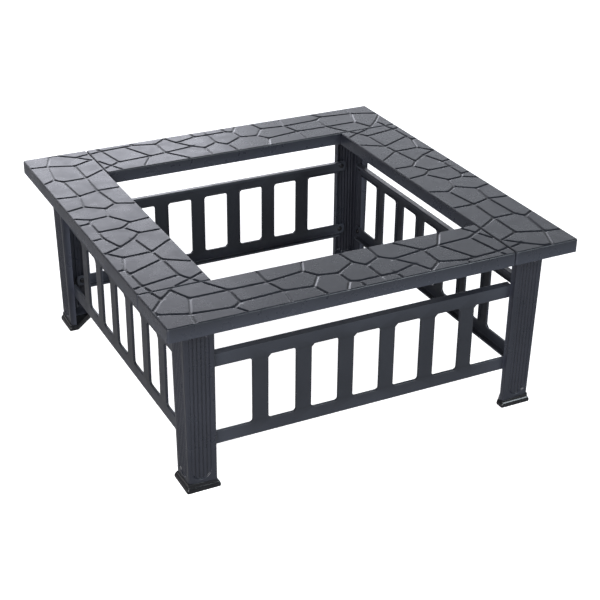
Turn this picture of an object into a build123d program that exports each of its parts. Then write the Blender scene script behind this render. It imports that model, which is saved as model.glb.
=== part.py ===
from build123d import *
import math
import os

# A square pressed-steel fire table, open in the middle: four stone-pattern top panels in a pinwheel,
# four tapered angle legs in plastic feet, and a ladder-shaped side panel between each pair of legs.
# Millimetres. The origin is on the floor under the middle, +Z is up, and the front faces -Y.
# The front-left corner and the front side are drawn once and repeated by quarter turns.

# Overall
TOP_SIZE = 813          # outer side of the square top, 32 in
HEIGHT = 363
PANEL_WIDTH = 136.5     # each top panel, outer edge to opening
SKIRT_DEPTH = 26
SEAM_GAP = 1.0          # between one panel's far end and the next panel's inner skirt

# Pressed sheet
TOP_SHEET = 1.0
TOP_CORNER_RADIUS = 4
TOP_EDGE_RADIUS = 3
GROOVE_WIDTH = 5
GROOVE_DEPTH = 1.2
LEG_SHEET = 1.2
LEG_BEND_RADIUS = 2.4
SIDE_SHEET = 1.0

# Legs: the outer corner leans out and the faces widen towards the top
LEG_CORNER_LOW = 359.3      # centre line of the table to the leg's outer faces, at the floor
LEG_CORNER_HIGH = 364.2     # the same at the leg's top
LEG_FACE_LOW = 55
LEG_FACE_HIGH = 58.5
LEG_BOTTOM = 3              # floor of the foot under the sheet
BUSH_HEIGHT = 7             # threaded bush between the top sheet and the leg's ear
FIELD_CENTRE = 334          # centre line of the table to the middle of each reeded field
FIELD_WIDTH = 38
FIELD_DEPTH = 2
FIELD_LOW = 21
FIELD_HIGH = 322
REED_COUNT = 5
REED_PITCH = 7.5
REED_WIDTH = 6
REED_WALL = 1
REED_END_RADIUS = 16.5      # the reeds' ends follow this circle, inside the field's round end

# Side panels
SIDE_PLANE = 347.5          # centre line of the table to the panel's outer face
RAIL_HALF_LENGTH = 308
RAIL_HEIGHT = 27.5
SIDE_BOTTOM = 78
SIDE_TOP = 263.5
BAR_COUNT = 6
BAR_PITCH = 85.2
BAR_WIDTH = 31
WINDOW_RADIUS = 6
EDGE_RETURN = 5             # depth of the turned-in edges round the windows
RAIL_FLANGE = 15
RAIL_LIP = 5
TAB_REACH = 327             # end of each rail's tab
TAB_HEIGHT = 23.5
TAB_RADIUS = 8
TAB_SCREW = 315.5           # centre line of the table to the screw through the tab
EAR_ROOT = 305.5            # where the leg's ear leaves its turned-in edge
EAR_WIDTH = 20
EAR_HEIGHT = 22
EAR_HOLE_ALONG = 32         # leg's outer faces to the hole in the ear under the top, along the face
EAR_HOLE_IN = 10            # and inwards from the face

# Feet
FOOT_CORNER = 364.5         # centre line of the table to the foot's outer faces
FOOT_SIDE = 65.3
FOOT_END = 19               # width of the foot's two ends, left by the diagonal
FOOT_BEAD = 11
FOOT_COLLAR = 18
FOOT_WALL = 1.0
FOOT_EDGE_RADIUS = 3
FOOT_CAVITY = 359.8         # centre line of the table to the inside of the foot's outer walls

# M6 fasteners
SHANK_RADIUS = 3
CLEARANCE_RADIUS = 3.2
HEAD_RADIUS = 5.5
HEAD_HEIGHT = 3.3
HEAD_ROUND = 2.6
SOCKET_RADIUS = 2.3
SOCKET_DEPTH = 2
NUT_RADIUS = 5.77
NUT_HEIGHT = 5
RAIL_SCREW_LENGTH = 10
LEG_SCREW_LENGTH = 8
SEAM_SCREW_LENGTH = 12
SEAM_SCREW_SPREAD = 70
SEAM_SCREW_DROP = 14        # below the top face

# Derived
HALF = TOP_SIZE / 2
PANEL_LENGTH = TOP_SIZE - PANEL_WIDTH - SEAM_GAP
OPENING_HALF = HALF - PANEL_WIDTH
PANEL_MID = HALF - PANEL_WIDTH / 2
PANEL_END = OPENING_HALF - SEAM_GAP
SEAM_HEIGHT = HEIGHT - SEAM_SCREW_DROP
SEAM_OFFSETS = (-SEAM_SCREW_SPREAD / 2, SEAM_SCREW_SPREAD / 2)
LEG_TOP = HEIGHT - TOP_SHEET - BUSH_HEIGHT
LEAN = math.degrees(math.atan2(LEG_CORNER_HIGH - LEG_CORNER_LOW, LEG_TOP))
RAIL_MIDS = (SIDE_BOTTOM + RAIL_HEIGHT / 2, SIDE_TOP - RAIL_HEIGHT / 2)
WINDOW_HEIGHT = SIDE_TOP - SIDE_BOTTOM - 2 * RAIL_HEIGHT
WINDOW_WIDTH = BAR_PITCH - BAR_WIDTH
SIDE_MID = (SIDE_BOTTOM + SIDE_TOP) / 2
BARS_HALF = (BAR_COUNT - 1) / 2 * BAR_PITCH + BAR_WIDTH / 2
END_BAY = RAIL_HALF_LENGTH - BARS_HALF
EAR_HOLE = (LEG_CORNER_HIGH - EAR_HOLE_ALONG, LEG_CORNER_HIGH - EAR_HOLE_IN)
FOOT_SHRINK = FOOT_CORNER - FOOT_CAVITY - FOOT_WALL
DIAGONAL = Plane(origin=(0, 0, 0), z_dir=(1, -1, 0))
SIDE_FACE = Plane.XZ.offset(SIDE_PLANE)
LADDER_FACE = Plane((0, -SIDE_PLANE, SIDE_MID), x_dir=(1, 0, 0), z_dir=(0, 1, 0))
LADDER_BACK = LADDER_FACE.offset(SIDE_SHEET)
INNER_SEAM = Plane.XZ.offset(OPENING_HALF)      # inner skirt of the front panel, facing the left one
END_SEAM = Plane.YZ.offset(PANEL_END)           # far end of the front panel, facing the right one
CORNERS = ("front_left", "front_right", "back_right", "back_left")
SIDES = ("front", "right", "back", "left")

# The joints between the pressed stones, as lines across one top panel: the first number runs along
# the panel from its start, the second from the outer edge to the opening.
GROOVES = (
    ((24, 131), (31, 104), (4, 71), (4, 56), (56, 35.5), (131, 26.5), (144, 4)),
    ((31, 104), (57, 129), (75, 88), (56, 35.5), (51, 4)),
    ((75, 88), (147, 88), (218, 87), (293, 98), (310, 73), (346, 65), (389, 93), (384, 131)),
    ((120, 131), (147, 88), (147, 40), (131, 26.5)),
    ((147, 40), (231, 45), (285, 38), (310, 73)),
    ((219, 131), (218, 87), (231, 45), (225, 4)),
    ((307, 131), (293, 98)),
    ((285, 38), (293, 4)),
    ((346, 65), (349, 30), (333, 4)),
    ((349, 30), (364, 23), (408, 24), (437, 23), (486, 39), (501, 6), (529, 29), (577, 14)),
    ((577, 14), (597, 16), (649, 19), (672, 25)),
    ((364, 23), (366, 4)),
    ((389, 93), (407, 73), (408, 24)),
    ((407, 73), (441, 92), (442, 131)),
    ((441, 92), (462, 73), (486, 39)),
    ((437, 23), (440, 4)),
    ((462, 73), (528, 83), (529, 29)),
    ((493, 131), (528, 83), (564, 88), (597, 16)),
    ((592, 131), (564, 88), (635, 92), (649, 19), (654, 4)),
    ((635, 92), (657, 105), (672, 114)),
    ((643, 131), (657, 105), (672, 72)),
    ((577, 14), (578, 4)),
)

os.makedirs("parts", exist_ok=True)


def write_four(solid, names):
    """Write one piece and its three quarter turns about the middle of the table."""
    for turn, name in enumerate(names):
        piece = solid.rotate(Axis.Z, 90 * turn)
        piece.label = name
        export_step(piece, f"parts/{name}.step")


# ---- Top panel: a tray with skirts all round and pressed joint lines ----

def groove_plan(width):
    """The joint lines of one panel as round-ended strokes, seen from above."""
    with BuildSketch() as plan:
        for line in GROOVES:
            for (u0, v0), (u1, v1) in zip(line, line[1:]):
                middle = ((u0 + u1) / 2 - HALF, (v0 + v1) / 2 - HALF)
                heading = math.degrees(math.atan2(v1 - v0, u1 - u0))
                with Locations(Location(middle, (0, 0, heading))):
                    SlotCenterToCenter(math.hypot(u1 - u0, v1 - v0), width)
    return plan.sketch


with BuildPart() as top_panel:
    with BuildSketch(Plane.XY.offset(HEIGHT)):
        with Locations((-HALF, -HALF)):
            Rectangle(PANEL_LENGTH, PANEL_WIDTH, align=(Align.MIN, Align.MIN))
    extrude(amount=-SKIRT_DEPTH)
    fillet(top_panel.edges().filter_by(Axis.Z), TOP_CORNER_RADIUS)
    fillet(top_panel.faces().sort_by(Axis.Z)[-1].edges(), TOP_EDGE_RADIUS)
    offset(amount=-TOP_SHEET, openings=top_panel.faces().sort_by(Axis.Z)[0])
    with BuildSketch(Plane.XY.offset(HEIGHT - TOP_SHEET)):
        add(groove_plan(GROOVE_WIDTH + 2 * TOP_SHEET))
    extrude(amount=-GROOVE_DEPTH)
    with BuildSketch(Plane.XY.offset(HEIGHT)):
        add(groove_plan(GROOVE_WIDTH))
    extrude(amount=-GROOVE_DEPTH, mode=Mode.SUBTRACT)
    with BuildSketch(INNER_SEAM):
        with Locations(*[(-PANEL_MID + shift, SEAM_HEIGHT) for shift in SEAM_OFFSETS]):
            Circle(CLEARANCE_RADIUS)
    extrude(amount=2 * TOP_SHEET, mode=Mode.SUBTRACT)
    with BuildSketch(END_SEAM):
        with Locations(*[(-PANEL_MID + shift, SEAM_HEIGHT) for shift in SEAM_OFFSETS]):
            Circle(CLEARANCE_RADIUS)
    extrude(amount=-2 * TOP_SHEET, mode=Mode.SUBTRACT)

write_four(top_panel.part, [f"top_panel_{side}" for side in SIDES])

# ---- Leg: a tapered angle with turned-in edges, fixing ears and a reeded field on each face ----

def leg_section(height, corner, face):
    """The sheet's outline at one height, as an open path swept to the sheet's thickness."""
    near = -corner + LEG_SHEET / 2
    far = -corner + face - LEG_SHEET / 2
    with BuildSketch(Plane.XY.offset(height)) as section:
        with BuildLine():
            FilletPolyline(
                (-SIDE_PLANE, far), (near, far), (near, near), (far, near), (far, -SIDE_PLANE),
                radius=LEG_BEND_RADIUS,
            )
        trace(line_width=LEG_SHEET)
    return section


def field_plan(inset):
    """The reeded field's round-ended outline, centred on its own plane's origin."""
    SlotOverall(FIELD_HIGH - FIELD_LOW + 2 * inset, FIELD_WIDTH + 2 * inset, rotation=90)


def reed_plan(width, mode):
    """The reeds as round-ended strips whose ends follow a circle inside the field's end."""
    straight = FIELD_HIGH - FIELD_LOW - FIELD_WIDTH
    for index in range(REED_COUNT):
        across = (index - (REED_COUNT - 1) / 2) * REED_PITCH
        reach = math.sqrt(REED_END_RADIUS**2 - across**2)
        with Locations((across, 0)):
            SlotOverall(straight + 2 * reach - REED_WIDTH + width, width, rotation=90, mode=mode)


def face_planes(depth):
    """Planes on the front and left faces, this far inside the outer surface, at mid-field."""
    lean = math.radians(LEAN)
    middle = (FIELD_LOW + FIELD_HIGH) / 2
    out = LEG_CORNER_LOW + middle * math.tan(lean) - depth / math.cos(lean)
    away, down = -math.cos(lean), -math.sin(lean)
    front = Plane((-FIELD_CENTRE, -out, middle), x_dir=(1, 0, 0), z_dir=(0, away, down))
    left = Plane((-out, -FIELD_CENTRE, middle), x_dir=(0, -1, 0), z_dir=(away, 0, down))
    return front, left


with BuildPart() as rail_ears:
    for height in RAIL_MIDS:
        with BuildSketch(SIDE_FACE):
            with Locations((-EAR_ROOT, height)):
                Rectangle(EAR_WIDTH, EAR_HEIGHT, align=(Align.MAX, Align.CENTER))
            with Locations((-TAB_SCREW, height)):
                Circle(CLEARANCE_RADIUS, mode=Mode.SUBTRACT)
        extrude(amount=LEG_SHEET)

with BuildPart() as top_ear:
    with BuildSketch(Plane.XY.offset(LEG_TOP)):
        with Locations((-EAR_HOLE[0], -LEG_CORNER_HIGH + LEG_SHEET / 2)):
            Rectangle(EAR_HEIGHT, EAR_WIDTH, align=(Align.CENTER, Align.MIN))
        with Locations((-EAR_HOLE[0], -EAR_HOLE[1])):
            Circle(CLEARANCE_RADIUS, mode=Mode.SUBTRACT)
    extrude(amount=-LEG_SHEET)

low_section = leg_section(LEG_BOTTOM, LEG_CORNER_LOW, LEG_FACE_LOW)
high_section = leg_section(LEG_TOP, LEG_CORNER_HIGH, LEG_FACE_HIGH)

with BuildPart() as leg:
    loft(sections=[low_section.sketch, high_section.sketch])
    for plane in face_planes(LEG_SHEET / 2):
        with BuildSketch(plane):
            field_plan(LEG_SHEET)
        extrude(amount=-FIELD_DEPTH - LEG_SHEET / 2)
    for plane in face_planes(-LEG_SHEET):
        with BuildSketch(plane):
            field_plan(0)
            reed_plan(REED_WIDTH, Mode.SUBTRACT)
        extrude(amount=-FIELD_DEPTH - LEG_SHEET, mode=Mode.SUBTRACT)
    for plane in face_planes(LEG_SHEET):
        with BuildSketch(plane):
            reed_plan(REED_WIDTH - 2 * REED_WALL, Mode.ADD)
        extrude(amount=-FIELD_DEPTH - LEG_SHEET, mode=Mode.SUBTRACT)
    add(rail_ears.part)
    mirror(rail_ears.part, about=DIAGONAL)
    add(top_ear.part)
    mirror(top_ear.part, about=DIAGONAL)

write_four(leg.part, [f"leg_{corner}" for corner in CORNERS])

# ---- Foot: a plastic shoe round the leg's bottom, closed across the inside by a diagonal wall ----

def foot_plan(corner, shrink):
    """A square with its inner corner cut off, all sides moved in from the foot's widest outline."""
    inner = -FOOT_CORNER + FOOT_SIDE - shrink
    cut = FOOT_SIDE - FOOT_END
    slant = shrink * (2 - math.sqrt(2))
    Polygon(
        (-corner, -corner), (inner, -corner), (inner, inner - cut + slant),
        (inner - cut + slant, inner), (-corner, inner), align=None,
    )


with BuildPart() as foot_cap:
    with BuildSketch():
        foot_plan(FOOT_CORNER, 0)
    extrude(amount=FOOT_BEAD)
    fillet(foot_cap.edges().filter_by(Axis.Z), FOOT_EDGE_RADIUS)
    fillet(foot_cap.faces().sort_by(Axis.Z)[-1].edges(), FOOT_EDGE_RADIUS)
    with BuildSketch():
        foot_plan(FOOT_CAVITY + FOOT_WALL, FOOT_SHRINK)
    extrude(amount=FOOT_COLLAR)
    with BuildSketch(Plane.XY.offset(LEG_BOTTOM)):
        foot_plan(FOOT_CAVITY, FOOT_SHRINK + FOOT_WALL)
    extrude(amount=FOOT_COLLAR, mode=Mode.SUBTRACT)

write_four(foot_cap.part, [f"foot_cap_{corner}" for corner in CORNERS])

# ---- Side panel: one pressed sheet, two rails and six bars, with turned-in edges and end tabs ----

with BuildSketch(Plane.XY) as ladder:
    Rectangle(2 * RAIL_HALF_LENGTH, SIDE_TOP - SIDE_BOTTOM)
    with GridLocations(BAR_PITCH, 0, BAR_COUNT - 1, 1):
        RectangleRounded(WINDOW_WIDTH, WINDOW_HEIGHT, WINDOW_RADIUS, mode=Mode.SUBTRACT)
    with GridLocations(2 * (BARS_HALF + END_BAY), 0, 2, 1):
        RectangleRounded(2 * END_BAY, WINDOW_HEIGHT, WINDOW_RADIUS, mode=Mode.SUBTRACT)

with BuildSketch(Plane.XY) as ladder_inside:
    add(offset(ladder.sketch, amount=-SIDE_SHEET, kind=Kind.INTERSECTION, mode=Mode.PRIVATE))
    with Locations((0, RAIL_MIDS[0] - SIDE_MID), (0, RAIL_MIDS[1] - SIDE_MID)):
        Rectangle(2 * RAIL_HALF_LENGTH, RAIL_HEIGHT - 2 * SIDE_SHEET)

with BuildPart() as side_panel:
    with BuildSketch(LADDER_FACE):
        add(ladder.sketch)
    extrude(amount=EDGE_RETURN)
    with BuildSketch(LADDER_BACK):
        add(ladder_inside.sketch)
    extrude(amount=EDGE_RETURN, mode=Mode.SUBTRACT)
    for sign in (-1, 1):
        # the rail's outer flange, and its lip turned back towards the windows
        edge = sign * (SIDE_TOP - SIDE_BOTTOM) / 2
        align = Align.MIN if sign < 0 else Align.MAX
        with BuildSketch(LADDER_FACE):
            with Locations((0, edge)):
                Rectangle(2 * RAIL_HALF_LENGTH, SIDE_SHEET, align=(Align.CENTER, align))
        extrude(amount=RAIL_FLANGE)
        with BuildSketch(LADDER_FACE.offset(RAIL_FLANGE - SIDE_SHEET)):
            with Locations((0, edge)):
                Rectangle(2 * RAIL_HALF_LENGTH, RAIL_LIP, align=(Align.CENTER, align))
        extrude(amount=SIDE_SHEET)
        with BuildSketch(LADDER_FACE):
            with Locations((0, sign * (RAIL_MIDS[1] - SIDE_MID))):
                RectangleRounded(2 * TAB_REACH, TAB_HEIGHT, TAB_RADIUS)
            with GridLocations(2 * TAB_SCREW, 2 * (RAIL_MIDS[1] - SIDE_MID), 2, 2):
                Circle(CLEARANCE_RADIUS, mode=Mode.SUBTRACT)
        extrude(amount=SIDE_SHEET)

write_four(side_panel.part, [f"side_panel_{side}" for side in SIDES])

# ---- Fasteners: M6 button-head screws, hex nuts, and bushes welded under the top panels ----

def screw(place, length):
    """A button-head screw: its head stands behind the plane and its shank runs along the normal."""
    with BuildPart() as piece:
        with BuildSketch(place):
            Circle(HEAD_RADIUS)
        extrude(amount=-HEAD_HEIGHT)
        head_rims = piece.edges().filter_by(GeomType.CIRCLE)
        fillet(head_rims.sort_by(Axis(place.origin, place.z_dir))[0], HEAD_ROUND)
        with BuildSketch(place):
            Circle(SHANK_RADIUS)
        extrude(amount=length)
        with BuildSketch(place.offset(-HEAD_HEIGHT)):
            RegularPolygon(SOCKET_RADIUS, 6)
        extrude(amount=SOCKET_DEPTH, mode=Mode.SUBTRACT)
    return piece.part


def nut(place):
    """A hex nut standing on the plane, touching its screw's shank."""
    with BuildPart() as piece:
        with BuildSketch(place):
            RegularPolygon(NUT_RADIUS, 6)
            Circle(SHANK_RADIUS, mode=Mode.SUBTRACT)
        extrude(amount=NUT_HEIGHT)
    return piece.part


def outward(across, inset, height):
    """A plane at one place on the front side's left part, facing out to the front."""
    return Plane((-across, -inset, height), x_dir=(1, 0, 0), z_dir=(0, -1, 0))


with BuildPart() as rail_screws:
    for height in RAIL_MIDS:
        add(screw(outward(TAB_SCREW, SIDE_PLANE - SIDE_SHEET, height), RAIL_SCREW_LENGTH))
    mirror(about=DIAGONAL)

with BuildPart() as rail_nuts:
    for height in RAIL_MIDS:
        add(nut(outward(TAB_SCREW, SIDE_PLANE + LEG_SHEET, height)))
    mirror(about=DIAGONAL)

with BuildPart() as leg_screws:
    add(screw(Plane((-EAR_HOLE[0], -EAR_HOLE[1], LEG_TOP - LEG_SHEET)), LEG_SCREW_LENGTH))
    mirror(about=DIAGONAL)

with BuildPart() as leg_bushes:
    with BuildSketch(Plane.XY.offset(LEG_TOP)):
        with Locations((-EAR_HOLE[0], -EAR_HOLE[1])):
            Circle(NUT_RADIUS)
            Circle(SHANK_RADIUS, mode=Mode.SUBTRACT)
    extrude(amount=BUSH_HEIGHT)
    mirror(about=DIAGONAL)

with BuildPart() as seam_screws:
    for shift in SEAM_OFFSETS:
        head_plane = outward(PANEL_MID + shift, PANEL_END - TOP_SHEET, SEAM_HEIGHT)
        add(screw(head_plane, SEAM_SCREW_LENGTH))

with BuildPart() as seam_nuts:
    for shift in SEAM_OFFSETS:
        add(nut(outward(PANEL_MID + shift, OPENING_HALF + TOP_SHEET, SEAM_HEIGHT)))

for name, fasteners in (
    ("rail_screws", rail_screws), ("rail_nuts", rail_nuts), ("leg_screws", leg_screws),
    ("leg_bushes", leg_bushes), ("seam_screws", seam_screws), ("seam_nuts", seam_nuts),
):
    write_four(fasteners.part, [f"{name}_{corner}" for corner in CORNERS])
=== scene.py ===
"""A square pressed-steel fire table, in metres, +Z up, its front facing -Y.

The sheet-metal pieces and the feet are built again here with their real bends, relief and roundings,
in the places that the CAD nodes hold. Screws, nuts and bushes stay as CAD nodes with their own
materials.
"""
import math

import bpy
import numpy as np
from mathutils import Matrix, Vector
from mathutils.geometry import delaunay_2d_cdt


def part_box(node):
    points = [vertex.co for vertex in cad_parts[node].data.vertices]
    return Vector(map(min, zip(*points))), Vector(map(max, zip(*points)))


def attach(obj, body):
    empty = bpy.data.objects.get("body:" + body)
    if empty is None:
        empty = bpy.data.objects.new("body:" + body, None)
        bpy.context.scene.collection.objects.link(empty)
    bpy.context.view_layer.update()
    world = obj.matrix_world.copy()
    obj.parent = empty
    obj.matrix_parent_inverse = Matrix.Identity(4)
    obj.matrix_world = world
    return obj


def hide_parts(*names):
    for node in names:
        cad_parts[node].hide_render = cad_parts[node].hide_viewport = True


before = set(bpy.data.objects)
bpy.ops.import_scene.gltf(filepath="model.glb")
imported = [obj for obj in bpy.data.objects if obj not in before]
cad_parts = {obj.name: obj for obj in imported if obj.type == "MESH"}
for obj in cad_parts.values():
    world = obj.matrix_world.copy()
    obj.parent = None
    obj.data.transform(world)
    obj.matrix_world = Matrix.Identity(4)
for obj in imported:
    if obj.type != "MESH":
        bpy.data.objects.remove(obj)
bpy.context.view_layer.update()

MM = 0.001
SIDES = ("front", "right", "back", "left")
CORNERS = ("front_left", "front_right", "back_right", "back_left")

# Sheet thicknesses and bends, in millimetres
TOP_SHEET = 1.0
TOP_EDGE_BEND = 3.0
TOP_CORNER_RADIUS = 4.0
LEG_SHEET = 1.2
LEG_BEND = 3.0
SIDE_SHEET = 1.0
SIDE_BEND = 2.0
BEND_STEPS = 5

# Grooves between the pressed stones
GROOVE_HALF_WIDTH = 3.9
GROOVE_DEPTH = 1.8
GROOVE_BLEND = 1.1          # how far two grooves melt into each other where they meet
GROOVE_ROWS = (0.0, 0.3, 0.58, 0.82, 1.0, 1.2)
GROOVE_STEP = 2.6
GROOVE_OVERLAP = 0.3        # a row's points may come this much nearer to another groove
STONE_STEP = 12.0
STONE_MARGIN = 3.0          # from the grooves' outermost rows to the grid on the stones
POINT_SPACING = 0.9         # points nearer than this to another are left out
EDGE_STEP = 2.6
EDGE_MARGIN = 1.0

# Leg faces
LEG_CORNER_LOW = 359.3      # centre line of the table to the leg's outer faces, at the floor
LEG_FACE_LOW = 55.0
LEG_FACE_HIGH = 58.5
LEG_FACE_COLUMNS = 66
FIELD_CENTRE = 334.0
FIELD_HALF_WIDTH = 19.8
FIELD_DEPTH = 2.9
FIELD_WALL = 2.4
FIELD_LOW = 21.0
FIELD_HIGH = 322.0
FIELD_MARGIN = 0.6
REED_COUNT = 5
REED_PITCH = 7.5
REED_HALF_WIDTH = 3.3
REED_END_RADIUS = 17.6
REED_RISE = 0.95            # the reeds' height as a share of the field's depth
EAR_WIDTH = 20.0
EAR_HEIGHT = 22.0
EAR_CORNER_RADIUS = 2.5
EAR_STEPS = 48
EAR_ROOT = 305.5
EAR_HOLE_RADIUS = 3.2
TOP_EAR_ALONG = 332.2       # centre line of the table to the top ear's hole, along its face

# Side panels
RAIL_HALF_LENGTH = 308.0
RAIL_HEIGHT = 27.5
RAIL_LIP = 5.0
RAIL_POINTS = 9
TAB_RADIUS = 8.0
BAR_COUNT = 6
BAR_PITCH = 85.2
BAR_WIDTH = 31.0
WINDOW_RADIUS = 6.0
ARC_STEPS = 6
EDGE_RETURN = 5.0
FLANGE_RISE = 1.6           # draft of the rails' outer flanges over their depth

# Feet: the outer profile's points are (distance inside the widest outline, height)
FOOT_PROFILE = (
    (1.0, 0.0), (0.35, 0.5), (0.05, 1.5), (0.0, 3.2), (0.1, 4.6), (0.4, 6.0), (0.9, 7.3),
    (1.55, 8.5), (2.3, 9.5), (3.0, 10.3), (3.35, 11.2), (3.5, 12.4), (3.6, 14.2), (3.7, 16.0),
    (3.75, 17.4), (4.0, 18.0), (4.5, 18.0), (4.7, 17.5),
)
FOOT_END = 19.0             # width of the foot's ends, inside its two outer sides
FOOT_FLOOR = 3.0
FOOT_BEAD = 10.6
FOOT_CORNER_RADIUS = 3.0
FOOT_LEAST_RADIUS = 0.4
FOOT_CORNER_STEPS = 6
COLLAR_SLOPE = (52.0, 73.0)  # the collar slopes to the bead where the distances from both sides add to this
FOOT_SHARP_ANGLE = 50.0

# The joints between the pressed stones, as lines across one top panel: the first number runs along
# the panel from its start, the second from the outer edge to the opening, in millimetres.
GROOVES = (
    ((24, 131), (31, 104), (4, 71), (4, 56), (56, 35.5), (131, 26.5), (144, 4)),
    ((31, 104), (57, 129), (75, 88), (56, 35.5), (51, 4)),
    ((75, 88), (147, 88), (218, 87), (293, 98), (310, 73), (346, 65), (389, 93), (384, 131)),
    ((120, 131), (147, 88), (147, 40), (131, 26.5)),
    ((147, 40), (231, 45), (285, 38), (310, 73)),
    ((219, 131), (218, 87), (231, 45), (225, 4)),
    ((307, 131), (293, 98)),
    ((285, 38), (293, 4)),
    ((346, 65), (349, 30), (333, 4)),
    ((349, 30), (364, 23), (408, 24), (437, 23), (486, 39), (501, 6), (529, 29), (577, 14)),
    ((577, 14), (597, 16), (649, 19), (672, 25)),
    ((364, 23), (366, 4)),
    ((389, 93), (407, 73), (408, 24)),
    ((407, 73), (441, 92), (442, 131)),
    ((441, 92), (462, 73), (486, 39)),
    ((437, 23), (440, 4)),
    ((462, 73), (528, 83), (529, 29)),
    ((493, 131), (528, 83), (564, 88), (597, 16)),
    ((592, 131), (564, 88), (635, 92), (649, 19), (654, 4)),
    ((635, 92), (657, 105), (672, 114)),
    ((643, 131), (657, 105), (672, 72)),
    ((577, 14), (578, 4)),
)


# ---- Mesh helpers ----

def cad_corners(node):
    """A CAD node's lowest and highest corners in millimetres."""
    low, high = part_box(node)
    return np.array(low) / MM, np.array(high) / MM


def make_object(name, vertices, faces, loop_normals=None):
    """A smooth mesh object from millimetre points."""
    mesh = bpy.data.meshes.new(name)
    mesh.from_pydata((np.asarray(vertices) * MM).tolist(), [], faces)
    mesh.polygons.foreach_set("use_smooth", [True] * len(mesh.polygons))
    if loop_normals is not None:
        mesh.normals_split_custom_set(loop_normals)
    mesh.update()
    piece = bpy.data.objects.new(name, mesh)
    bpy.context.scene.collection.objects.link(piece)
    return piece


def border_edges(faces):
    """The directed edges that only one face uses."""
    used = {}
    for face in faces:
        for start, end in zip(face, face[1:] + face[:1]):
            used[(start, end)] = used.get((start, end), 0) + 1
    return [(start, end) for start, end in used if (end, start) not in used]


def facing(face, points, normals):
    """The face, turned over if its corners run the wrong way round for its normals."""
    ring = points[face]
    across = np.cross(ring - ring[0], np.roll(ring, -1, axis=0) - ring[0]).sum(0)
    return face if across @ normals[face].sum(0) > 0 else face[::-1]


def sheet(points, normals, faces, thickness):
    """An open skin made into a closed sheet: the skin, its back and a flat rim round its borders.

    Returns vertices, faces and one normal per face corner.
    """
    points = np.asarray(points, float)
    normals = np.asarray(normals, float)
    normals = normals / np.linalg.norm(normals, axis=1)[:, None]
    faces = [facing(list(face), points, normals) for face in faces]
    count = len(points)
    vertices = np.vstack((points, points - normals * thickness))
    solid = list(faces)
    corner_normals = [normals[i] for face in faces for i in face]
    for face in faces:
        back = [i + count for i in reversed(face)]
        solid.append(back)
        corner_normals += [-normals[i - count] for i in back]
    for start, end in border_edges(faces):
        rim = [end, start, start + count, end + count]
        across = np.cross(vertices[rim[1]] - vertices[rim[0]], vertices[rim[3]] - vertices[rim[0]])
        across = across / max(np.linalg.norm(across), 1e-9)
        solid.append(rim)
        corner_normals += [across] * 4
    return vertices, solid, corner_normals


def join_parts(parts):
    """Several (vertices, faces, corner normals) as one."""
    vertices, faces, corner_normals = [], [], []
    start = 0
    for part_vertices, part_faces, part_normals in parts:
        vertices.append(part_vertices)
        faces += [[i + start for i in face] for face in part_faces]
        corner_normals += list(part_normals)
        start += len(part_vertices)
    return np.vstack(vertices), faces, corner_normals


def swap_axes(part):
    """The same part mirrored in the table's diagonal, x for y."""
    vertices, faces, corner_normals = part
    order = [1, 0, 2]
    turned, normals, at = [], [], 0
    for face in faces:
        turned.append(list(reversed(face)))
        normals += [corner_normals[at + i][order] for i in reversed(range(len(face)))]
        at += len(face)
    return np.asarray(vertices)[:, order], turned, normals


def bridge(lower, upper, closed=True):
    """Faces between two rows of vertex numbers of the same length, without doubled corners."""
    faces = []
    last = len(lower) if closed else len(lower) - 1
    for i in range(last):
        j = (i + 1) % len(lower)
        face = [lower[i], lower[j], upper[j], upper[i]]
        face = [v for k, v in enumerate(face) if v != face[k - 1]]
        if len(face) > 2:
            faces.append(face)
    return faces


def quarter_turns(name, names, part, material):
    """Four pieces a quarter turn apart, each in place of its CAD node."""
    first = make_object(f"{name}_{names[0]}", *part)
    pieces = [first]
    for turn, corner in enumerate(names[1:], start=1):
        piece = bpy.data.objects.new(f"{name}_{corner}", first.data.copy())
        piece.data.name = piece.name
        piece.data.transform(Matrix.Rotation(math.pi / 2 * turn, 4, "Z"))
        bpy.context.scene.collection.objects.link(piece)
        pieces.append(piece)
    for piece, corner in zip(pieces, names):
        piece.data.materials.append(material)
        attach(piece, "root")
        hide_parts(f"{name.removeprefix('formed_')}_{corner}")
    return pieces


# ---- Materials ----

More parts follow.
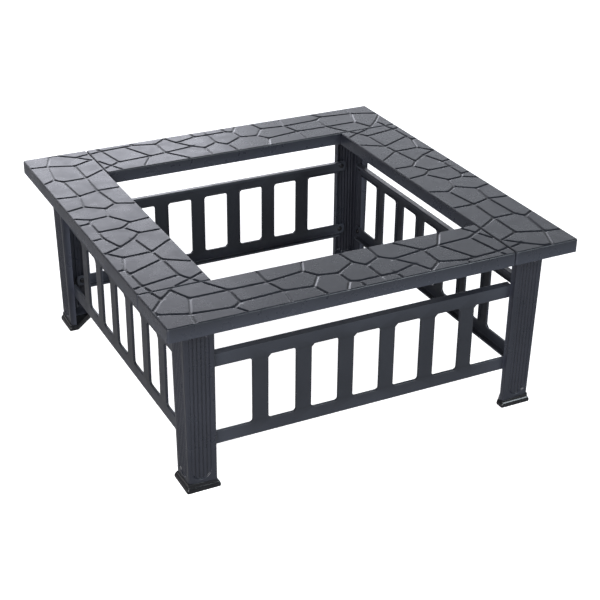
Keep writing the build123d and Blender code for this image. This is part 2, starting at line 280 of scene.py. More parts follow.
class Nodes:
    """A material's node tree with a Principled shader, and short ways to add to it."""

    def __init__(self, name):
        self.material = bpy.data.materials.new(name)
        self.material.use_nodes = True
        self.tree = self.material.node_tree
        self.shader = self.tree.nodes["Principled BSDF"]
        self.where = self.tree.nodes.new("ShaderNodeTexCoord").outputs["Object"]

    def link(self, source, target):
        self.tree.links.new(source, target)

    def noise(self, scale, detail=2.0, roughness=0.5):
        """Noise in object space: scale is the number of blobs in a metre."""
        node = self.tree.nodes.new("ShaderNodeTexNoise")
        node.inputs["Scale"].default_value = scale
        node.inputs["Detail"].default_value = detail
        node.inputs["Roughness"].default_value = roughness
        self.link(self.where, node.inputs["Vector"])
        return node.outputs["Fac"]

    def span(self, source, low, high, from_low=0.35, from_high=0.65):
        """A value spread over a new range."""
        node = self.tree.nodes.new("ShaderNodeMapRange")
        node.inputs["From Min"].default_value = from_low
        node.inputs["From Max"].default_value = from_high
        node.inputs["To Min"].default_value = low
        node.inputs["To Max"].default_value = high
        self.link(source, node.inputs["Value"])
        return node.outputs["Result"]

    def blend(self, factor, first, second):
        """A colour between two others; each is a colour or a socket."""
        node = self.tree.nodes.new("ShaderNodeMix")
        node.data_type = "RGBA"
        self.link(factor, node.inputs["Factor"])
        for socket, value in ((node.inputs[6], first), (node.inputs[7], second)):
            if isinstance(value, tuple):
                socket.default_value = (*value, 1.0)
            else:
                self.link(value, socket)
        return node.outputs[2]

    def bump(self, height, distance, strength=1.0, under=None):
        """Relief in metres, on top of another bump where one is given."""
        node = self.tree.nodes.new("ShaderNodeBump")
        node.inputs["Strength"].default_value = strength
        node.inputs["Distance"].default_value = distance
        self.link(height, node.inputs["Height"])
        if under is not None:
            self.link(under, node.inputs["Normal"])
        return node.outputs["Normal"]


def powder_coat(name, dark, light, roughness, peel):
    """Satin powder coat: orange peel, faint mottling, and a painted highlight that lightens convex edges.
    """
    coat = Nodes(name)
    shader = coat.shader
    shader.inputs["IOR"].default_value = 1.46
    mottle = coat.blend(coat.span(coat.noise(9.0, 4.0), 0.0, 1.0), dark, light)
    geometry = coat.tree.nodes.new("ShaderNodeNewGeometry")
    # painted highlight: convex edges, found by pointiness, are blended towards three times the light tone
    edge = coat.span(geometry.outputs["Pointiness"], 0.0, 0.5, 0.52, 0.60)
    coat.link(coat.blend(edge, mottle, tuple(3.0 * c for c in light)), shader.inputs["Base Color"])
    coat.link(coat.span(coat.noise(26.0, 5.0, 0.6), roughness - 0.05, roughness + 0.06),
              shader.inputs["Roughness"])
    waves = coat.bump(coat.noise(55.0, 1.0), 0.00018, 0.35)
    fine = coat.bump(coat.noise(620.0, 2.0, 0.55), 0.00005, peel, waves)
    coat.link(fine, shader.inputs["Normal"])
    return coat.material


def moulded_plastic(name):
    """Glossy dark nylon with a fine mould grain and faint random mottling."""
    plastic = Nodes(name)
    shader = plastic.shader
    shader.inputs["IOR"].default_value = 1.50
    colour = plastic.blend(plastic.span(plastic.noise(40.0, 3.0), 0.0, 1.0),
                           (0.0040, 0.0045, 0.0060), (0.0075, 0.0080, 0.0100))
    plastic.link(colour, shader.inputs["Base Color"])
    plastic.link(plastic.span(plastic.noise(90.0, 4.0, 0.6), 0.10, 0.17), shader.inputs["Roughness"])
    plastic.link(plastic.bump(plastic.noise(1500.0, 2.0), 0.00003, 0.4), shader.inputs["Normal"])
    return plastic.material


def plated_steel(name, dark, light, roughness, metallic):
    """A plated or blackened fastener: cloudy plating with fine turning marks."""
    plated = Nodes(name)
    shader = plated.shader
    shader.inputs["Metallic"].default_value = metallic
    colour = plated.blend(plated.span(plated.noise(260.0, 4.0, 0.6), 0.0, 1.0), dark, light)
    plated.link(colour, shader.inputs["Base Color"])
    plated.link(plated.span(plated.noise(420.0, 3.0), roughness - 0.08, roughness + 0.10),
                shader.inputs["Roughness"])
    plated.link(plated.bump(plated.noise(1900.0, 2.0), 0.00003, 0.5), shader.inputs["Normal"])
    return plated.material


top_coat = powder_coat("top_powder_coat", (0.0130, 0.0148, 0.0200), (0.0175, 0.0198, 0.0265), 0.29, 0.40)
leg_coat = powder_coat("leg_powder_coat", (0.0160, 0.0180, 0.0255), (0.0215, 0.0240, 0.0330), 0.31, 0.25)
side_coat = powder_coat("side_powder_coat", (0.0130, 0.0148, 0.0200), (0.0175, 0.0198, 0.0260), 0.36, 0.25)
foot_plastic = moulded_plastic("foot_plastic")
black_screw = plated_steel("blackened_screw", (0.020, 0.020, 0.022), (0.042, 0.042, 0.046), 0.36, 0.75)
zinc_nut = plated_steel("zinc_plating", (0.42, 0.43, 0.46), (0.62, 0.63, 0.65), 0.34, 1.0)


# ---- Top panels ----

def segment_ends():
    """Start and end points of every straight stretch of the grooves."""
    pairs = [(a, b) for line in GROOVES for a, b in zip(line, line[1:])]
    return np.array([a for a, _ in pairs], float), np.array([b for _, b in pairs], float)


GROOVE_STARTS, GROOVE_ENDS = segment_ends()


def groove_distances(points):
    """Distance from each point to each groove segment."""
    along = GROOVE_ENDS - GROOVE_STARTS
    reach = points[:, None, :] - GROOVE_STARTS[None]
    share = np.clip((reach * along).sum(2) / (along * along).sum(1), 0, 1)
    return np.linalg.norm(reach - share[..., None] * along, axis=2)


def groove_depth(points, panel):
    """How far the sheet is pressed down at each point of a panel, fading out at the panel's edges."""
    blended = -GROOVE_BLEND * np.log(np.exp(-groove_distances(points) / GROOVE_BLEND).sum(1))
    share = np.clip(blended / GROOVE_HALF_WIDTH, 0, 1)
    inset = np.minimum(points, panel - points).min(1)
    fade = np.clip(inset / TOP_CORNER_RADIUS, 0, 1)
    return GROOVE_DEPTH * 0.5 * (1 + np.cos(math.pi * share)) * fade * fade * (3 - 2 * fade)


def surface_normals(points, panel):
    """Normals of the pressed top at each point."""
    step = 0.05
    slope = []
    for direction in ((step, 0), (0, step)):
        ahead = groove_depth(points + direction, panel)
        behind = groove_depth(points - np.array(direction), panel)
        slope.append((ahead - behind) / (2 * step))
    return np.stack((slope[0], slope[1], np.ones(len(points))), axis=1)


def stone_points(panel):
    """Points inside a panel's flat top: rows along the grooves, and a loose grid on the stones."""
    low = TOP_CORNER_RADIUS + EDGE_MARGIN
    high = panel - TOP_CORNER_RADIUS - EDGE_MARGIN
    found = []
    for start, end in zip(GROOVE_STARTS, GROOVE_ENDS):
        along = end - start
        length = np.linalg.norm(along)
        across = np.array((-along[1], along[0])) / length
        shares = np.linspace(0, 1, max(2, round(length / GROOVE_STEP)) + 1)
        for row in GROOVE_ROWS:
            for side in ((-1, 1) if row else (1,)):
                offset = side * row * GROOVE_HALF_WIDTH
                rows = start + shares[:, None] * along + offset * across
                near = groove_distances(rows).min(1)
                found.append(rows[near > abs(offset) - GROOVE_OVERLAP])
    columns = np.arange(low, high[0], STONE_STEP)
    rows = np.arange(low, high[1], STONE_STEP)
    grid = np.stack(np.meshgrid(columns, rows), axis=-1).reshape(-1, 2)
    clear = GROOVE_HALF_WIDTH * GROOVE_ROWS[-1] + STONE_MARGIN
    found.append(grid[groove_distances(grid).min(1) > clear])
    found = np.vstack(found)
    found = found[((found > low) & (found < high)).all(1)]
    cells, kept = set(), []
    for point in found:
        cell = (round(point[0] / POINT_SPACING), round(point[1] / POINT_SPACING))
        if cell not in cells:
            cells.add(cell)
            kept.append(point)
    return np.array(kept)


def panel_ring(panel, inset):
    """A panel's outline moved in, and its outward directions: round corners, evenly spaced between."""
    radius = TOP_CORNER_RADIUS - inset
    c = TOP_CORNER_RADIUS
    centres = np.array(((c, c), (panel[0] - c, c), (panel[0] - c, panel[1] - c), (c, panel[1] - c)))
    points, outward = [], []
    for k in range(4):
        for step in range(BEND_STEPS + 1):
            angle = math.pi * (1 + k / 2 + step / BEND_STEPS / 2)
            outward.append((math.cos(angle), math.sin(angle)))
            points.append(centres[k] + radius * np.array(outward[-1]))
        run = centres[(k + 1) % 4] - centres[k]
        count = round(np.linalg.norm(run) / EDGE_STEP)
        for share in np.arange(1, count) / count:
            outward.append(outward[-1])
            points.append(centres[k] + share * run + radius * np.array(outward[-1]))
    return np.array(points), np.array(outward)


def first_in_place(panel, count):
    """For each point of a panel's innermost ring, the first in its place: a corner is one point there."""
    corner_starts = [0]
    for k in range(3):
        side = panel[k % 2] - 2 * TOP_CORNER_RADIUS
        corner_starts.append(corner_starts[-1] + BEND_STEPS + round(side / EDGE_STEP))
    first = []
    for i in range(count):
        start = max(s for s in corner_starts if s <= i)
        first.append(start if i - start <= BEND_STEPS else i)
    return first


def skirt_rows(skirt):
    """Rows from the flat top round the bend to the skirt's foot: (inset, height, angle of the bend)."""
    rows = [(TOP_EDGE_BEND, 0.0, 0.0)]
    for step in range(1, BEND_STEPS + 1):
        angle = math.pi / 2 * step / BEND_STEPS
        rows.append((TOP_EDGE_BEND * (1 - math.sin(angle)), TOP_EDGE_BEND * (math.cos(angle) - 1), angle))
    rows.append((0.0, -skirt, math.pi / 2))
    return rows


def top_panel(panel, skirt):
    """One pressed panel as a sheet, from (0, 0) at its outer start corner, its top at height 0."""
    rim, _ = panel_ring(panel, TOP_CORNER_RADIUS)
    first = first_in_place(panel, len(rim))
    unique = sorted(set(first))
    inside = stone_points(panel)
    flat = [Vector(p) for p in rim[unique]] + [Vector(p) for p in inside]
    loop = [(i, (i + 1) % len(unique)) for i in range(len(unique))]
    out_points, _, triangles, origins, _, _ = delaunay_2d_cdt(flat, loop, [], 0, 1e-4)
    plan = np.array([tuple(p) for p in out_points])
    place = {source: i for i, sources in enumerate(origins) for source in sources}
    rank = {old: place[new] for new, old in enumerate(unique)}
    row = [rank[i] for i in first]
    points = np.column_stack((plan, -groove_depth(plan, panel)))
    normals = surface_normals(plan, panel)
    faces = [list(face) for face in triangles]
    all_points, all_normals, start = [points], [normals], len(points)
    for inset, height, angle in skirt_rows(skirt):
        ring, outward = panel_ring(panel, inset)
        depth = groove_depth(ring, panel) * math.cos(angle)
        if angle == 0:
            ring_normals = surface_normals(ring, panel)
        else:
            ring_normals = np.column_stack((outward * math.sin(angle), np.full(len(ring), math.cos(angle))))
        all_points.append(np.column_stack((ring, height - depth)))
        all_normals.append(ring_normals)
        next_row = list(range(start, start + len(ring)))
        faces += bridge(next_row, row)
        row = next_row
        start += len(ring)
    return sheet(np.vstack(all_points), np.vstack(all_normals), faces, TOP_SHEET)


panel_low, panel_high = cad_corners("top_panel_front")
panel_size = (panel_high - panel_low)[:2]
panel_part = top_panel(panel_size, panel_high[2] - panel_low[2])
panel_part[0][:] += (panel_low[0], panel_low[1], panel_high[2])
quarter_turns("formed_top_panel", SIDES, panel_part, top_coat)


# ---- Legs ----

leg_low, leg_high = cad_corners("leg_front_left")
LEG_CORNER_HIGH = -leg_low[0]
LEG_BOTTOM, LEG_TOP = leg_low[2], leg_high[2]
panel_face = -cad_corners("side_panel_front")[0][1]


def leg_size(height):
    """Distance of the leg's outer faces from the centre line, and their width, at a height."""
    share = height / LEG_TOP
    return (LEG_CORNER_LOW + share * (LEG_CORNER_HIGH - LEG_CORNER_LOW),
            LEG_FACE_LOW + share * (LEG_FACE_HIGH - LEG_FACE_LOW))


def capsule_distance(across, height, low, high):
    """Distance to an upright line from low to high."""
    return np.hypot(across, height - np.clip(height, low, high))


def face_relief(across, height):
    """How far the leg's face is pressed in: a round-ended field with reeds standing in it."""
    edge = FIELD_HALF_WIDTH - capsule_distance(
        across, height, FIELD_LOW + FIELD_HALF_WIDTH, FIELD_HIGH - FIELD_HALF_WIDTH)
    share = np.clip(edge / FIELD_WALL, 0, 1)
    depth = FIELD_DEPTH * share * share * (3 - 2 * share)
    for index in range(REED_COUNT):
        centre = (index - (REED_COUNT - 1) / 2) * REED_PITCH
        reach = math.sqrt(REED_END_RADIUS**2 - centre**2) - REED_HALF_WIDTH
        off = capsule_distance(across - centre, height,
                               FIELD_LOW + FIELD_HALF_WIDTH - reach,
                               FIELD_HIGH - FIELD_HALF_WIDTH + reach)
        round_top = np.sqrt(np.clip(1 - (off / REED_HALF_WIDTH)**2, 0, 1))
        depth = depth - FIELD_DEPTH * REED_RISE * round_top
    return np.clip(depth, 0, FIELD_DEPTH)


def relief_slopes(across, height):
    """The face's slopes across the leg and up it."""
    step = 0.02
    sideways = float(face_relief(across + step, height) - face_relief(across - step, height))
    upward = float(face_relief(across, height + step) - face_relief(across, height - step))
    return sideways / (2 * step), upward / (2 * step)


def leg_stations(height):
    """The front half of the leg's section at a height: (x, y, normal x, normal y, field offset)."""
    corner, face = leg_size(height)
    end = -corner + face
    stations = [(end, -panel_face, 1, 0, None), (end, -corner + LEG_BEND + 0.2, 1, 0, None)]
    for step in range(BEND_STEPS + 1):
        angle = -math.pi / 2 * step / BEND_STEPS
        c, s = math.cos(angle), math.sin(angle)
        stations.append((end - LEG_BEND + LEG_BEND * c, -corner + LEG_BEND + LEG_BEND * s, c, s, None))
    reach = FIELD_HALF_WIDTH + FIELD_MARGIN
    for across in np.linspace(reach, -reach, LEG_FACE_COLUMNS):
        stations.append((-FIELD_CENTRE + across, -corner, 0, -1, across))
    for step in range(BEND_STEPS + 1):
        angle = -math.pi / 2 - math.pi / 4 * step / BEND_STEPS
        c, s = math.cos(angle), math.sin(angle)
        stations.append((-corner + LEG_BEND + LEG_BEND * c, -corner + LEG_BEND + LEG_BEND * s, c, s, None))
    return stations


def leg_heights():
    """Heights of the mesh's rows: close together only where the field and the reeds end."""
    plain_rows, end_rows, middle_rows = 3, 32, 8
    return np.concatenate((
        np.linspace(LEG_BOTTOM, FIELD_LOW - 1, plain_rows),
        np.linspace(FIELD_LOW - 0.4, FIELD_LOW + 22, end_rows),
        np.linspace(FIELD_LOW + 40, FIELD_HIGH - 40, middle_rows),
        np.linspace(FIELD_HIGH - 22, FIELD_HIGH + 0.4, end_rows),
        np.linspace(FIELD_HIGH + 1, LEG_TOP, plain_rows),
    ))


def leg_skin():
    """The leg's outer skin: both faces, the corner between them and the turned-in edges."""
    grid, normals = [], []
    for height in leg_heights():
        here = leg_stations(height)
        above = leg_stations(height + 1)
        points, directions = [], []
        for (x, y, nx, ny, across), (ax, ay, _, _, _) in zip(here, above):
            lean = -((ax - x) * nx + (ay - y) * ny)
            if across is None:
                points.append((x, y, height))
                directions.append((nx, ny, lean))
                continue
            sideways, upward = relief_slopes(across, height)
            points.append((x, y + float(face_relief(across, height)), height))
            directions.append((sideways, ny, lean + upward))
        points += [(y, x, z) for x, y, z in reversed(points[:-1])]
        directions += [(ny, nx, nz) for nx, ny, nz in reversed(directions[:-1])]
        grid.append(points)
        normals.append(directions)
    columns = len(grid[0])
    faces = []
    for i in range(len(grid) - 1):
        lower = list(range(i * columns, (i + 1) * columns))
        upper = [v + columns for v in lower]
        faces += bridge(upper, lower, closed=False)
    return sheet(np.array(grid).reshape(-1, 3), np.array(normals).reshape(-1, 3), faces, LEG_SHEET)


def leg_ear(centre, first, second, half_first, half_second):
    """A rounded plate with a hole: its skin faces first x second, its thickness goes behind."""
    first, second = np.array(first, float), np.array(second, float)
    inner_u, inner_v = half_first - EAR_CORNER_RADIUS, half_second - EAR_CORNER_RADIUS
    outline, hole = [], []
    for k in range(EAR_STEPS):
        angle = 2 * math.pi * k / EAR_STEPS
        c, s = math.cos(angle), math.sin(angle)
        scale = 1 / max(abs(c) / half_first, abs(s) / half_second)
        u, v = np.clip(scale * c, -half_first, half_first), np.clip(scale * s, -half_second, half_second)
        if abs(u) > inner_u and abs(v) > inner_v:
            du, dv = abs(u) - inner_u, abs(v) - inner_v
            length = math.hypot(du, dv)
            u = math.copysign(inner_u + EAR_CORNER_RADIUS * du / length, u)
            v = math.copysign(inner_v + EAR_CORNER_RADIUS * dv / length, v)
        outline.append(centre + u * first + v * second)
        hole.append(centre + EAR_HOLE_RADIUS * (c * first + s * second))
    faces = bridge(list(range(EAR_STEPS)), list(range(EAR_STEPS, 2 * EAR_STEPS)))
    normals = [np.cross(first, second)] * (2 * EAR_STEPS)
    return sheet(outline + hole, normals, faces, LEG_SHEET)


side_low, side_high = cad_corners("side_panel_front")
RAIL_MIDS = (side_low[2] + RAIL_HEIGHT / 2, side_high[2] - RAIL_HEIGHT / 2)

leg_parts = [leg_skin()]
for middle in RAIL_MIDS:
    ear_centre = np.array((-EAR_ROOT - EAR_WIDTH / 2, -panel_face - LEG_SHEET, middle))
    ear = leg_ear(ear_centre, (1, 0, 0), (0, 0, 1), EAR_WIDTH / 2, EAR_HEIGHT / 2)
    leg_parts += [ear, swap_axes(ear)]
top_ear_centre = np.array((-TOP_EAR_ALONG, -LEG_CORNER_HIGH + LEG_SHEET / 2 + EAR_WIDTH / 2, LEG_TOP))
top_ear = leg_ear(top_ear_centre, (1, 0, 0), (0, 1, 0), EAR_HEIGHT / 2, EAR_WIDTH / 2)
leg_parts += [top_ear, swap_axes(top_ear)]
quarter_turns("formed_leg", CORNERS, join_parts(leg_parts), leg_coat)


# ---- Side panels ----

WINDOW_WIDTH = BAR_PITCH - BAR_WIDTH
PANEL_TALL = side_high[2] - side_low[2]
WINDOW_TALL = PANEL_TALL - 2 * RAIL_HEIGHT
BARS_HALF = (BAR_COUNT - 1) / 2 * BAR_PITCH + BAR_WIDTH / 2
FLANGE = side_high[1] - side_low[1]


def arc(centre, radius, start, turn):
    """Points and outward directions of an arc, angles in quarter turns."""
    found = []
    for k in range(ARC_STEPS + 1):
        angle = math.pi / 2 * (start + turn * k / ARC_STEPS)
        direction = np.array((math.cos(angle), math.sin(angle)))
        found.append((np.array(centre) + radius * direction, direction))
    return found


def window_line(middle, grow):
    """A window's outline, clockwise, grown by a distance: points and directions into the window."""
    half_wide, half_tall = WINDOW_WIDTH / 2 - WINDOW_RADIUS, WINDOW_TALL / 2 - WINDOW_RADIUS
    line = []
    for k, (sx, sz) in enumerate(((1, -1), (-1, -1), (-1, 1), (1, 1))):
        centre = (middle + sx * half_wide, sz * half_tall)
        line += arc(centre, WINDOW_RADIUS + grow, -k, -1)
    return [(point, -direction) for point, direction in line]


def notch_line(grow):
    """The open bay between the last bar and the right-hand leg, from the top rail's end down."""
    inner = BARS_HALF + WINDOW_RADIUS
    tall = WINDOW_TALL / 2 - WINDOW_RADIUS
    line = [((RAIL_HALF_LENGTH, WINDOW_TALL / 2 + grow), np.array((0.0, 1.0)))]
    line += arc((inner, tall), WINDOW_RADIUS + grow, 1, 1)
    line += arc((inner, -tall), WINDOW_RADIUS + grow, 2, 1)
    line += [((RAIL_HALF_LENGTH, -WINDOW_TALL / 2 - grow), np.array((0.0, -1.0)))]
    return [(np.array(point), -direction) for point, direction in line]


def edge_profile(depth, lip):
    """A turned edge: (distance in from the edge, depth, share outward, share forward) per row."""
    rows = []
    rise = FLANGE_RISE if lip else 0.0
    draft = math.atan(rise / (depth - 2 * SIDE_BEND))
    for step in range(BEND_STEPS + 1):
        angle = (math.pi / 2 - draft) * step / BEND_STEPS
        s, c = math.sin(angle), math.cos(angle)
        rows.append((SIDE_BEND * (1 - s) + rise, SIDE_BEND * (1 - c), s, c))
    if not lip:
        rows.append((0.0, depth, 1.0, 0.0))
        return rows
    for step in range(BEND_STEPS + 1):
        angle = (math.pi / 2 + draft) * step / BEND_STEPS - draft
        s, c = math.sin(angle), math.cos(angle)
        rows.append((SIDE_BEND * (1 - c), depth - SIDE_BEND * (1 - s), c, -s))
    rows.append((lip, depth, 0.0, -1.0))
    return rows


class Skin:
    """A growing set of points, normals and faces, with points found again by their place."""

    def __init__(self):
        self.points, self.normals, self.faces, self.index = [], [], [], {}

    def add(self, point, normal):
        point, normal = np.asarray(point, float), np.asarray(normal, float)
        key = tuple(np.round(point, 3)) + tuple(np.round(normal, 2))
        if key not in self.index:
            self.index[key] = len(self.points)
            self.points.append(point)
            self.normals.append(normal)
        return self.index[key]


def side_point(flat, depth):
    """A place on the front side panel from its flat drawing and its depth behind the face."""
    return np.array((flat[0], -panel_face + depth, flat[1] + (side_low[2] + side_high[2]) / 2))


def turned_edge(skin, lines, depth, lip, closed):
    """Add one bent edge; lines(inset) gives the flat drawing's line at that distance in."""
    previous = None
    for inset, back, out, forward in edge_profile(depth, lip):
        row = []
        for point, direction in lines(inset):
            normal = np.array((direction[0] * out, -forward, direction[1] * out))
            row.append(skin.add(side_point(point, back), normal))
        if previous:
            skin.faces += bridge(row, previous, closed)
        previous = row


def mirror_line(line):
    """A right-hand line for the left-hand end, in the same direction round the panel."""
    return [(point * (-1, 1), direction * (-1, 1)) for point, direction in reversed(line)]


def rail_line(inset, sign):
    """The outer edge of the top rail (sign 1) or the bottom rail (sign -1)."""
    line = []
    for x in np.linspace(-RAIL_HALF_LENGTH, RAIL_HALF_LENGTH, RAIL_POINTS):
        line.append((np.array((x * sign, sign * (PANEL_TALL / 2 - inset))), np.array((0.0, float(sign)))))
    return line


def tab_line(sign):
    """The right-hand end of a rail, from its outer edge round the tab to the window's side."""
    half = RAIL_HEIGHT / 2 - SIDE_BEND
    middle = sign * (PANEL_TALL - RAIL_HEIGHT) / 2
    reach = side_high[0] - TAB_RADIUS
    corners = arc((reach, middle + half - TAB_RADIUS), TAB_RADIUS, 1, -1)
    corners += arc((reach, middle - half + TAB_RADIUS), TAB_RADIUS, 0, -1)
    return [point for point, _ in corners]


def is_sheet(x, z):
    """Whether a point of the flat drawing is on the ladder's face, away from its bends."""
    if abs(z) > WINDOW_TALL / 2:
        return True
    if abs(x) > BARS_HALF:
        depth_x = BARS_HALF + WINDOW_RADIUS - abs(x)
    else:
        bay = abs(x) % BAR_PITCH
        off_middle = min(bay, BAR_PITCH - bay)
        if off_middle >= WINDOW_WIDTH / 2:
            return True
        depth_x = off_middle - (WINDOW_WIDTH / 2 - WINDOW_RADIUS)
    depth_z = abs(z) - (WINDOW_TALL / 2 - WINDOW_RADIUS)
    return depth_x > 0 and depth_z > 0 and math.hypot(depth_x, depth_z) > WINDOW_RADIUS


def side_panel():
    """A ladder of rails and bars from one sheet, every edge turned in, tabs at the ends."""
    skin = Skin()
    middles = [(k - (BAR_COUNT - 2) / 2) * BAR_PITCH for k in range(BAR_COUNT - 1)]
    for middle in middles:
        turned_edge(skin, lambda inset: window_line(middle, inset), EDGE_RETURN, 0, True)
    turned_edge(skin, notch_line, EDGE_RETURN, 0, False)
    turned_edge(skin, lambda inset: mirror_line(notch_line(inset)), EDGE_RETURN, 0, False)
    for sign in (-1, 1):
        turned_edge(skin, lambda inset: rail_line(inset, sign), FLANGE, RAIL_LIP, False)
    right = tab_line(1)
    right += [p for p, _ in notch_line(SIDE_BEND)]
    right += tab_line(-1)
    top = [p for p, _ in rail_line(SIDE_BEND, 1)]
    outline = top + right + [p for p, _ in rail_line(SIDE_BEND, -1)]
    outline += [p * (-1, 1) for p in reversed(right)]
    flat, loops, at = [], [], 0
    for loop in [outline] + [[p for p, _ in window_line(middle, SIDE_BEND)] for middle in middles]:
        flat += loop
        loops.append(list(range(at, at + len(loop))))
        at += len(loop)
    edges = [(a, b) for loop in loops for a, b in zip(loop, loop[1:] + loop[:1])]
    places, _, triangles, _, _, _ = delaunay_2d_cdt([Vector(p) for p in flat], edges, [], 0, 1e-4)
    for triangle in triangles:
        corners = [places[i] for i in triangle]
        centroid = sum(corners, Vector((0, 0))) / 3
        if is_sheet(centroid.x, centroid.y):
            skin.faces.append([skin.add(side_point(p, 0), (0, -1, 0)) for p in corners])
    return sheet(skin.points, skin.normals, skin.faces, SIDE_SHEET)


quarter_turns("formed_side_panel", SIDES, side_panel(), side_coat)


# ---- Feet ----

foot_low, foot_high = cad_corners("foot_cap_front_left")


def foot_outline(inset):
    """The foot's plan moved in: a square with its inner corner cut off, all corners rounded."""
    outer = foot_low[0] + inset
    inner = foot_high[0] - inset
    end = foot_low[0] + FOOT_END + inset * (1 - math.sqrt(2))
    corners = np.array(((outer, outer), (inner, outer), (inner, end), (end, inner), (outer, inner)))
    line = []
    for k, corner in enumerate(corners):
        before = corners[k - 1] - corner
        after = corners[(k + 1) % len(corners)] - corner
        before, after = before / np.linalg.norm(before), after / np.linalg.norm(after)
        half = math.acos(float(before @ after)) / 2
        radius = max(FOOT_CORNER_RADIUS - inset / 2, FOOT_LEAST_RADIUS)
        centre = corner + (before + after) / np.linalg.norm(before + after) * radius / math.sin(half)
        arrive = corner + before * radius / math.tan(half) - centre
        leave = corner + after * radius / math.tan(half) - centre
        first = math.atan2(arrive[1], arrive[0])
        turn = (math.atan2(leave[1], leave[0]) - first) % (2 * math.pi)
        for step in range(FOOT_CORNER_STEPS + 1):
            angle = first + turn * step / FOOT_CORNER_STEPS
            line.append(centre + radius * np.array((math.cos(angle), math.sin(angle))))
    return np.array(line)


def foot_part():
    """The shoe: a bead, a cove and a thin collar outside, and a cavity for the leg."""
    vertices, faces, rows = [], [], []

    def add_row(inset, height):
        outline = foot_outline(inset)
        # the collar stands on the outer sides and slopes down to the bead across the inside
        inward = (outline - foot_low[0]).sum(1)
        drop = np.interp(inward, COLLAR_SLOPE, (0, 1)) * max(height - FOOT_BEAD, 0)
        rows.append(list(range(len(vertices), len(vertices) + len(outline))))
        vertices.extend(np.column_stack((outline, height - drop)).tolist())

    for inset, height in FOOT_PROFILE:
        add_row(inset, height)
    for height in (FOOT_BEAD, FOOT_FLOOR):
        add_row(FOOT_PROFILE[-1][0], height)
    for lower, upper in zip(rows, rows[1:]):
        faces += bridge(lower, upper)
    faces.append(list(reversed(rows[0])))
    faces.append(rows[-1])
    return np.array(vertices), faces


def keep_edges(pieces, angle):
    """Sharp edges where faces meet at more than an angle, and even shading elsewhere."""
    for piece in pieces:
        piece.data.set_sharp_from_angle(angle=math.radians(angle))
        weighted = piece.modifiers.new("even_shading", "WEIGHTED_NORMAL")
        weighted.keep_sharp = True


foot_caps = quarter_turns("formed_foot_cap", CORNERS, foot_part(), foot_plastic)
keep_edges(foot_caps, FOOT_SHARP_ANGLE)


# ---- Fasteners: CAD nodes with their own finish ----

FASTENERS = {
    "rail_screws": black_screw, "leg_screws": black_screw, "seam_screws": black_screw,
    "rail_nuts": zinc_nut, "seam_nuts": zinc_nut, "leg_bushes": zinc_nut,
}
for kind, material in FASTENERS.items():
    for corner in CORNERS:
        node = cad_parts[f"{kind}_{corner}"]
        for slot in node.material_slots:
            slot.material = material


# ---- Floor, light and camera ----

FLOOR_HALF = 14.0
FLOOR_SEEN = 0.93
FLOOR_BOUNCE = 0.52
FLOOR_GLOW = 0.85
HORIZON_LIGHT = 0.34
OVERHEAD_LIGHT = 0.08
HORIZON_TOP = 0.30          # sine of the elevation where the horizon's light begins to fall
OVERHEAD_START = 0.72       # and where it has fallen to the overhead light

floor_mesh = bpy.data.meshes.new("studio_floor")
floor_mesh.from_pydata([(-FLOOR_HALF, -FLOOR_HALF, 0), (FLOOR_HALF, -FLOOR_HALF, 0),
                        (FLOOR_HALF, FLOOR_HALF, 0), (-FLOOR_HALF, FLOOR_HALF, 0)], [], [(0, 1, 2, 3)])
floor = bpy.data.objects.new("studio_floor", floor_mesh)
bpy.context.scene.collection.objects.link(floor)


def studio_paint():
    """A pale floor: seen as nearly white, and a softer grey in what it throws back at the object."""
    paint = Nodes("studio_floor")
    shader = paint.shader
    shader.inputs["Roughness"].default_value = 0.9
    shader.inputs["Specular IOR Level"].default_value = 0.1
    shader.inputs["Emission Color"].default_value = (1, 1, 1, 1)
    seen = paint.tree.nodes.new("ShaderNodeLightPath").outputs["Is Camera Ray"]
    paint.link(paint.blend(seen, (FLOOR_BOUNCE,) * 3, (FLOOR_SEEN,) * 3), shader.inputs["Base Color"])
    paint.link(paint.span(seen, 0.0, FLOOR_GLOW, 0.0, 1.0), shader.inputs["Emission Strength"])
    return paint.material


floor_mesh.materials.append(studio_paint())


def softbox(name, place, aim, width, height, power, colour):
    """A rectangular area light at a place, facing a point."""
    light = bpy.data.lights.new(name, "AREA")
    light.color = colour
    light.shape = "RECTANGLE"
    light.size, light.size_y = width, height
    light.energy = power
    lamp = bpy.data.objects.new(name, light)
    lamp.location = place
    lamp.rotation_euler = (Vector(aim) - Vector(place)).to_track_quat("-Z", "Y").to_euler()
    bpy.context.scene.collection.objects.link(lamp)


softbox("back_softbox", (0.35, 4.15, 1.85), (0, 0, 0.3), 2.6, 1.6, 43, (0.88, 0.895, 1.0))
softbox("right_screen", (2.45, 3.4, 2.15), (0, 0, 0.3), 2.2, 1.9, 12.5, (0.84, 0.89, 1.0))
softbox("back_strip", (0.5, 4.4, 0.85), (0, 0, 0.3), 6.4, 0.7, 50, (0.88, 0.895, 1.0))
softbox("front_softbox", (-2.4, -2.7, 1.6), (0, 0, 0.1), 3.0, 2.3, 155, (1.0, 0.98, 0.99))
softbox("edge_softbox", (1.55, -2.75, 2.0), (0, 0, 0.2), 1.3, 1.2, 50, (0.86, 0.95, 1.0))


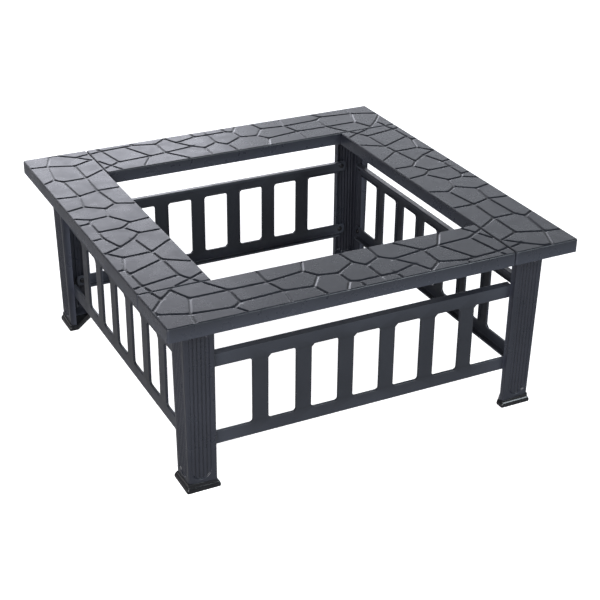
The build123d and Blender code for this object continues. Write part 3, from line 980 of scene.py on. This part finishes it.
def studio_world():
    """A studio that is bright round the horizon and dark overhead."""
    made = bpy.data.worlds.new("studio")
    made.use_nodes = True
    tree = made.node_tree
    split = tree.nodes.new("ShaderNodeSeparateXYZ")
    tree.links.new(tree.nodes.new("ShaderNodeTexCoord").outputs["Generated"], split.inputs[0])
    fall = tree.nodes.new("ShaderNodeMapRange")
    fall.interpolation_type = "SMOOTHSTEP"
    fall.inputs["From Min"].default_value = HORIZON_TOP
    fall.inputs["From Max"].default_value = OVERHEAD_START
    fall.inputs["To Min"].default_value = HORIZON_LIGHT
    fall.inputs["To Max"].default_value = OVERHEAD_LIGHT
    tree.links.new(split.outputs["Z"], fall.inputs["Value"])
    seen = tree.nodes.new("ShaderNodeMix")
    seen.inputs["B"].default_value = 1.0
    tree.links.new(tree.nodes.new("ShaderNodeLightPath").outputs["Is Camera Ray"], seen.inputs["Factor"])
    tree.links.new(fall.outputs["Result"], seen.inputs["A"])
    tree.links.new(seen.outputs["Result"], tree.nodes["Background"].inputs["Strength"])
    tree.nodes["Background"].inputs["Color"].default_value = (1, 1, 1, 1)
    return made


bpy.context.scene.world = studio_world()
bpy.context.scene.view_settings.view_transform = "Standard"

CAMERA_AZIMUTH = 0.4543         # round to the left of the front, in radians
CAMERA_ELEVATION = 0.4591
CAMERA_DISTANCE = 2.732
CAMERA_CENTRE = Vector((0, 0, 0.2))
CAMERA_AIM = (0.0122, -0.0208)  # how far right and up of the centre it looks, per metre away
CAMERA_ROLL = 0.0107
CAMERA_LENS = 81.18             # on a 36 mm sensor

away = Vector((-math.sin(CAMERA_AZIMUTH) * math.cos(CAMERA_ELEVATION),
               -math.cos(CAMERA_AZIMUTH) * math.cos(CAMERA_ELEVATION), math.sin(CAMERA_ELEVATION)))
right = (-away).cross(Vector((0, 0, 1))).normalized()
upward = right.cross(-away)
forward = (-away + CAMERA_AIM[0] * right + CAMERA_AIM[1] * upward).normalized()
right = forward.cross(Vector((0, 0, 1))).normalized()
upward = right.cross(forward)
right, upward = (math.cos(CAMERA_ROLL) * right + math.sin(CAMERA_ROLL) * upward,
                 math.cos(CAMERA_ROLL) * upward - math.sin(CAMERA_ROLL) * right)
camera_data = bpy.data.cameras.new("camera")
camera_data.lens = CAMERA_LENS
camera_data.sensor_width = 36
camera = bpy.data.objects.new("camera", camera_data)
camera.matrix_world = Matrix.Translation(CAMERA_CENTRE + CAMERA_DISTANCE * away) @ Matrix(
    (right, upward, -forward)).transposed().to_4x4()
bpy.context.scene.collection.objects.link(camera)
bpy.context.scene.camera = camera
